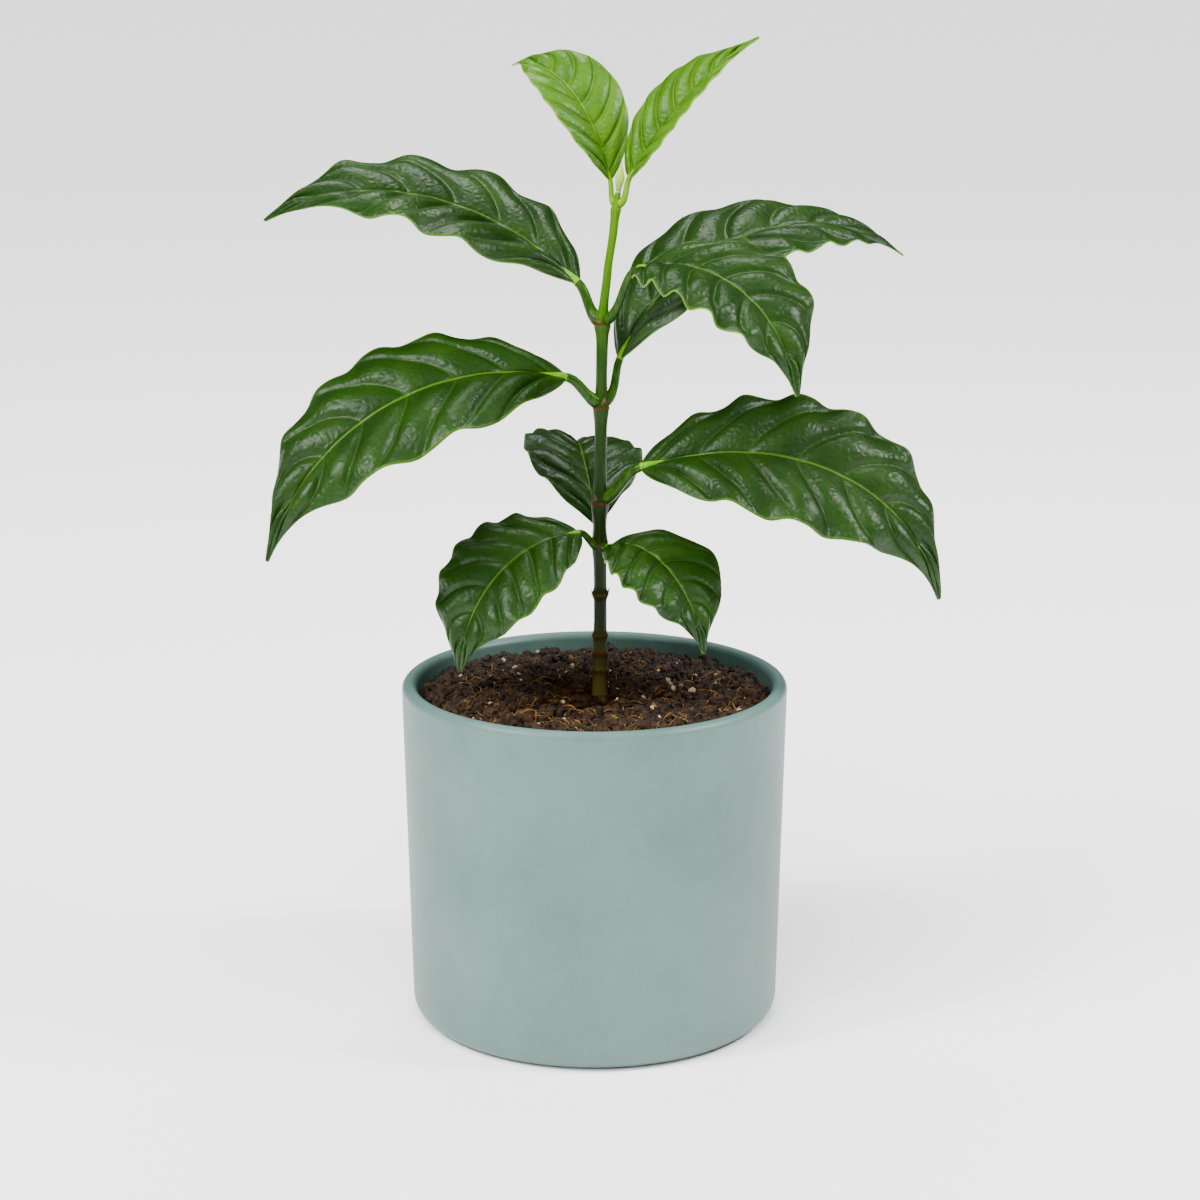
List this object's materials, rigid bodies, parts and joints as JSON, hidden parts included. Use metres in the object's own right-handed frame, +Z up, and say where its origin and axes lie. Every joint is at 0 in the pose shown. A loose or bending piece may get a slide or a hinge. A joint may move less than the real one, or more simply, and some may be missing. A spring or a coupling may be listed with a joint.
{
  "type": "potted coffee plant",
  "caption": "Young coffee plant with glossy, wavy-edged leaves in opposite pairs on one slender green stem, growing in a round, straight-sided sage ceramic pot of dark potting mix.",
  "frame": {"origin": "Centre of the pot's flat underside, where it rests on the surface below.", "axes": "+Z is up, along the stem. +X is to the right and +Y is away, as the plant is seen from its front; the middle pair of long leaves spreads along X."},
  "size_m": [0.2057, 0.1422, 0.3057],
  "materials": {
    "sage_glaze": "satin",
    "dark_potting_mix": "matte",
    "green_stem": "satin",
    "bud_green": "satin",
    "dark_leaf": "gloss",
    "medium_leaf": "gloss",
    "young_leaf": "gloss"
  },
  "bodies": {
    "root": {"pot": "sage_glaze", "potting_mix": "dark_potting_mix", "stem": "green_stem", "terminal_bud": "bud_green", "leaf_top_left": "young_leaf", "leaf_top_right": "young_leaf", "leaf_upper_left": "dark_leaf", "leaf_upper_right_front": "medium_leaf", "leaf_upper_right_back": "dark_leaf", "leaf_middle_left": "dark_leaf", "leaf_middle_right": "dark_leaf", "leaf_back": "dark_leaf", "leaf_lower_left": "dark_leaf", "leaf_lower_right": "dark_leaf"}
  },
  "joints": []
}
